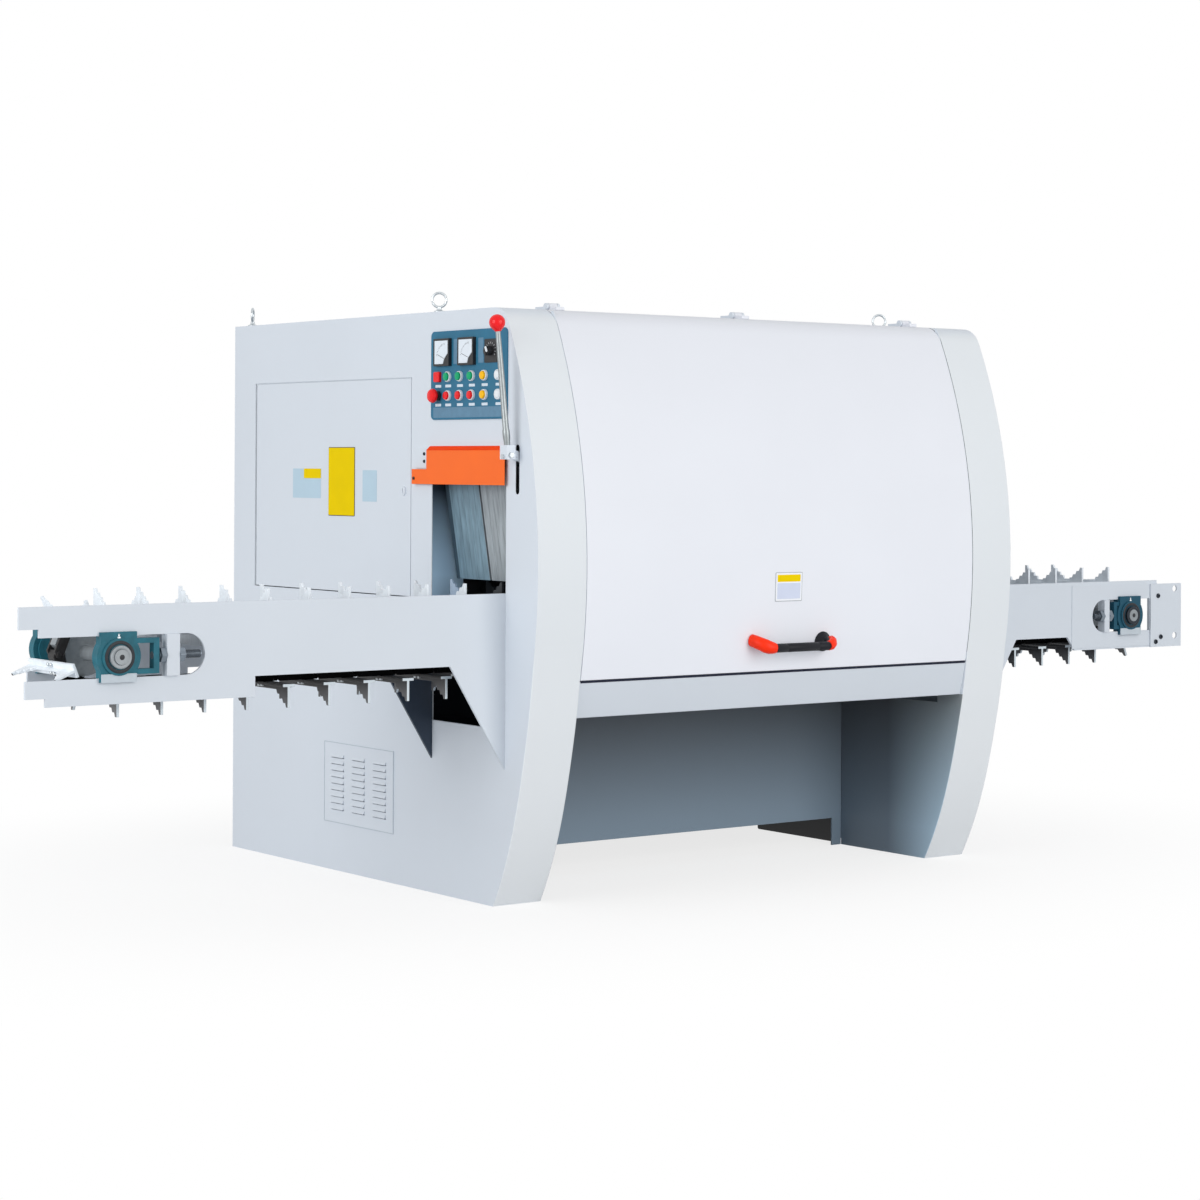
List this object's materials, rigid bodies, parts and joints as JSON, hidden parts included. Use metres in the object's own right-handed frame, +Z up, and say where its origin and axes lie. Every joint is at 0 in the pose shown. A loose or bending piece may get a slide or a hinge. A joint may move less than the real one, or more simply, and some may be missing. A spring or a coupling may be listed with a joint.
{
  "type": "twin shaft log saw",
  "caption": "Floor-standing log saw with a bowed hood over two saw arbors, fed by chain conveyors with V carriers and worked from a side control panel.",
  "frame": {"origin": "on the floor, under the middle of the machine's box", "axes": "+X is the feed direction, +Y goes from the operator's side to the back, +Z is up"},
  "size_m": [4.3, 1.794, 1.764],
  "materials": {
    "body_paint": "smooth near-white paint",
    "recess_paint": "blue-grey paint in shade",
    "machined_steel": "ground steel",
    "finger_steel": "streaked bare steel",
    "chain_steel": "oiled dark steel",
    "carrier_steel": "worn grey steel",
    "bearing_cast": "dark teal enamel",
    "motor_cast": "blue-grey enamel",
    "panel_slate": "slate blue enamel",
    "guard_orange": "orange enamel",
    "black_plastic": "satin black",
    "red_plastic": "gloss red",
    "green_plastic": "gloss green",
    "yellow_plastic": "gloss amber yellow",
    "lamp_plastic": "pale lens",
    "meter_plastic": "white meter face in a dark case",
    "handle_red": "gloss orange red",
    "device_plastic": "dark grey devices on a zinc plate"
  },
  "bodies": {
    "machine": {"infeed_end_frame": "body_paint", "outfeed_end_frame": "body_paint", "front_rail": "body_paint", "partition_wall": "body_paint", "chip_recess_panel": "recess_paint", "back_panel": "body_paint", "top_cover": "body_paint", "base_frame": "recess_paint", "electrical_enclosure": "body_paint", "electrical_door_pins": "machined_steel", "switchgear": "device_plastic", "louvre_panel": "body_paint", "control_panel": "panel_slate", "ammeters": "meter_plastic", "pilot_lamps": "lamp_plastic", "feed_guard": "guard_orange", "lifting_eyes": "machined_steel", "infeed_near_plate": "body_paint", "infeed_far_plate": "body_paint", "outfeed_near_plate": "body_paint", "outfeed_far_plate": "body_paint", "extension_plates": "body_paint", "chain_tracks": "machined_steel", "feed_chains": "chain_steel", "chain_carriers": "carrier_steel", "conveyor_bearings": "bearing_cast", "take_up_screws": "machined_steel", "feed_gearmotors": "motor_cast", "arbor_housings": "motor_cast", "main_motors": "motor_cast", "hood_hinges": "machined_steel", "cable_gland": "black_plastic"},
    "hood": {"hood_door": "body_paint", "handle_grip": "black_plastic", "handle_ends": "handle_red"},
    "electrical_door": {"electrical_door": "body_paint"},
    "door_lock": {"door_lock": "black_plastic"},
    "start_button_one": {"start_button_one": "green_plastic"},
    "start_button_two": {"start_button_two": "green_plastic"},
    "start_button_three": {"start_button_three": "green_plastic"},
    "raise_button": {"raise_button": "yellow_plastic"},
    "stop_button_one": {"stop_button_one": "red_plastic"},
    "stop_button_two": {"stop_button_two": "red_plastic"},
    "stop_button_three": {"stop_button_three": "red_plastic"},
    "lower_button": {"lower_button": "yellow_plastic"},
    "emergency_stop": {"emergency_stop": "red_plastic"},
    "speed_knob": {"speed_knob": "black_plastic"},
    "kickback_lever": {"kickback_fingers": "finger_steel", "lifting_lever": "machined_steel", "lever_ball": "red_plastic"},
    "upper_arbor": {"upper_arbor": "machined_steel", "upper_blades": "machined_steel"},
    "lower_arbor": {"lower_arbor": "machined_steel", "lower_blades": "machined_steel"},
    "infeed_drive": {"infeed_drive_shaft": "machined_steel"},
    "infeed_idler": {"infeed_idler_shaft": "machined_steel"},
    "outfeed_drive": {"outfeed_drive_shaft": "machined_steel"},
    "outfeed_idler": {"outfeed_idler_shaft": "machined_steel"},
    "press_arm": {"press_arm": "motor_cast"},
    "press_roller": {"press_roller": "machined_steel"}
  },
  "joints": [
    {"name": "hood_swing", "type": "hinge", "parent": "machine", "child": "hood", "pos_m": [0, -0.588, 1.712], "axis": [-1, 0, 0], "range_deg": [0, 75]},
    {"name": "electrical_door_swing", "type": "hinge", "parent": "machine", "child": "electrical_door", "pos_m": [-0.6577, 0.7165, 1.185], "axis": [0, 0, -1], "range_deg": [0, 95]},
    {"name": "door_lock_turn", "type": "hinge", "parent": "electrical_door", "child": "door_lock", "pos_m": [-0.67, -0.155, 1.174], "axis": [1, 0, 0], "range_deg": [0, 90]},
    {"name": "start_button_one_push", "type": "slide", "parent": "machine", "child": "start_button_one", "axis": [1, 0, 0], "range_m": [0, 0.003], "stiffness_N_per_m": 800},
    {"name": "start_button_two_push", "type": "slide", "parent": "machine", "child": "start_button_two", "axis": [1, 0, 0], "range_m": [0, 0.003], "stiffness_N_per_m": 800},
    {"name": "start_button_three_push", "type": "slide", "parent": "machine", "child": "start_button_three", "axis": [1, 0, 0], "range_m": [0, 0.003], "stiffness_N_per_m": 800},
    {"name": "raise_button_push", "type": "slide", "parent": "machine", "child": "raise_button", "axis": [1, 0, 0], "range_m": [0, 0.003], "stiffness_N_per_m": 800},
    {"name": "stop_button_one_push", "type": "slide", "parent": "machine", "child": "stop_button_one", "axis": [1, 0, 0], "range_m": [0, 0.003], "stiffness_N_per_m": 800},
    {"name": "stop_button_two_push", "type": "slide", "parent": "machine", "child": "stop_button_two", "axis": [1, 0, 0], "range_m": [0, 0.003], "stiffness_N_per_m": 800},
    {"name": "stop_button_three_push", "type": "slide", "parent": "machine", "child": "stop_button_three", "axis": [1, 0, 0], "range_m": [0, 0.003], "stiffness_N_per_m": 800},
    {"name": "lower_button_push", "type": "slide", "parent": "machine", "child": "lower_button", "axis": [1, 0, 0], "range_m": [0, 0.003], "stiffness_N_per_m": 800},
    {"name": "emergency_stop_push", "type": "slide", "parent": "machine", "child": "emergency_stop", "axis": [1, 0, 0], "range_m": [0, 0.005], "stiffness_N_per_m": 1500},
    {"name": "speed_knob_turn", "type": "hinge", "parent": "machine", "child": "speed_knob", "pos_m": [-0.674, -0.615, 1.577], "axis": [-1, 0, 0], "range_deg": [-135, 135]},
    {"name": "kickback_lever_pull", "type": "hinge", "parent": "machine", "child": "kickback_lever", "pos_m": [-0.625, -0.743, 1.262], "axis": [0, -1, 0], "range_deg": [0, 45]},
    {"name": "upper_arbor_spin", "type": "hinge", "parent": "machine", "child": "upper_arbor", "pos_m": [0.53, -0.498, 1.17], "axis": [0, 1, 0], "continuous": true},
    {"name": "lower_arbor_spin", "type": "hinge", "parent": "machine", "child": "lower_arbor", "pos_m": [0.31, -0.498, 0.79], "axis": [0, 1, 0], "continuous": true},
    {"name": "infeed_drive_spin", "type": "hinge", "parent": "machine", "child": "infeed_drive", "pos_m": [-0.1, -0.498, 0.757], "axis": [0, 1, 0], "continuous": true, "deforming": ["feed_chains", "chain_carriers"]},
    {"name": "infeed_idler_spin", "type": "hinge", "parent": "machine", "child": "infeed_idler", "pos_m": [-1.878, -0.498, 0.757], "axis": [0, 1, 0], "continuous": true, "deforming": ["feed_chains", "chain_carriers"]},
    {"name": "outfeed_drive_spin", "type": "hinge", "parent": "machine", "child": "outfeed_drive", "pos_m": [0.6855, -0.498, 0.757], "axis": [0, 1, 0], "continuous": true, "deforming": ["feed_chains", "chain_carriers"]},
    {"name": "outfeed_idler_spin", "type": "hinge", "parent": "machine", "child": "outfeed_idler", "pos_m": [1.892, -0.498, 0.757], "axis": [0, 1, 0], "continuous": true, "deforming": ["feed_chains", "chain_carriers"]},
    {"name": "press_arm_swing", "type": "hinge", "parent": "machine", "child": "press_arm", "pos_m": [-0.15, -0.333, 1.33], "axis": [0, -1, 0], "range_deg": [0, 45]},
    {"name": "press_roller_spin", "type": "hinge", "parent": "press_arm", "child": "press_roller", "pos_m": [0.03, -0.493, 1.04], "axis": [0, 1, 0], "continuous": true}
  ],
  "couplings": [
    {"joint": "infeed_idler_spin", "follows": "infeed_drive_spin", "ratio": 1},
    {"joint": "outfeed_drive_spin", "follows": "infeed_drive_spin", "ratio": 1},
    {"joint": "outfeed_idler_spin", "follows": "infeed_drive_spin", "ratio": 1}
  ]
}
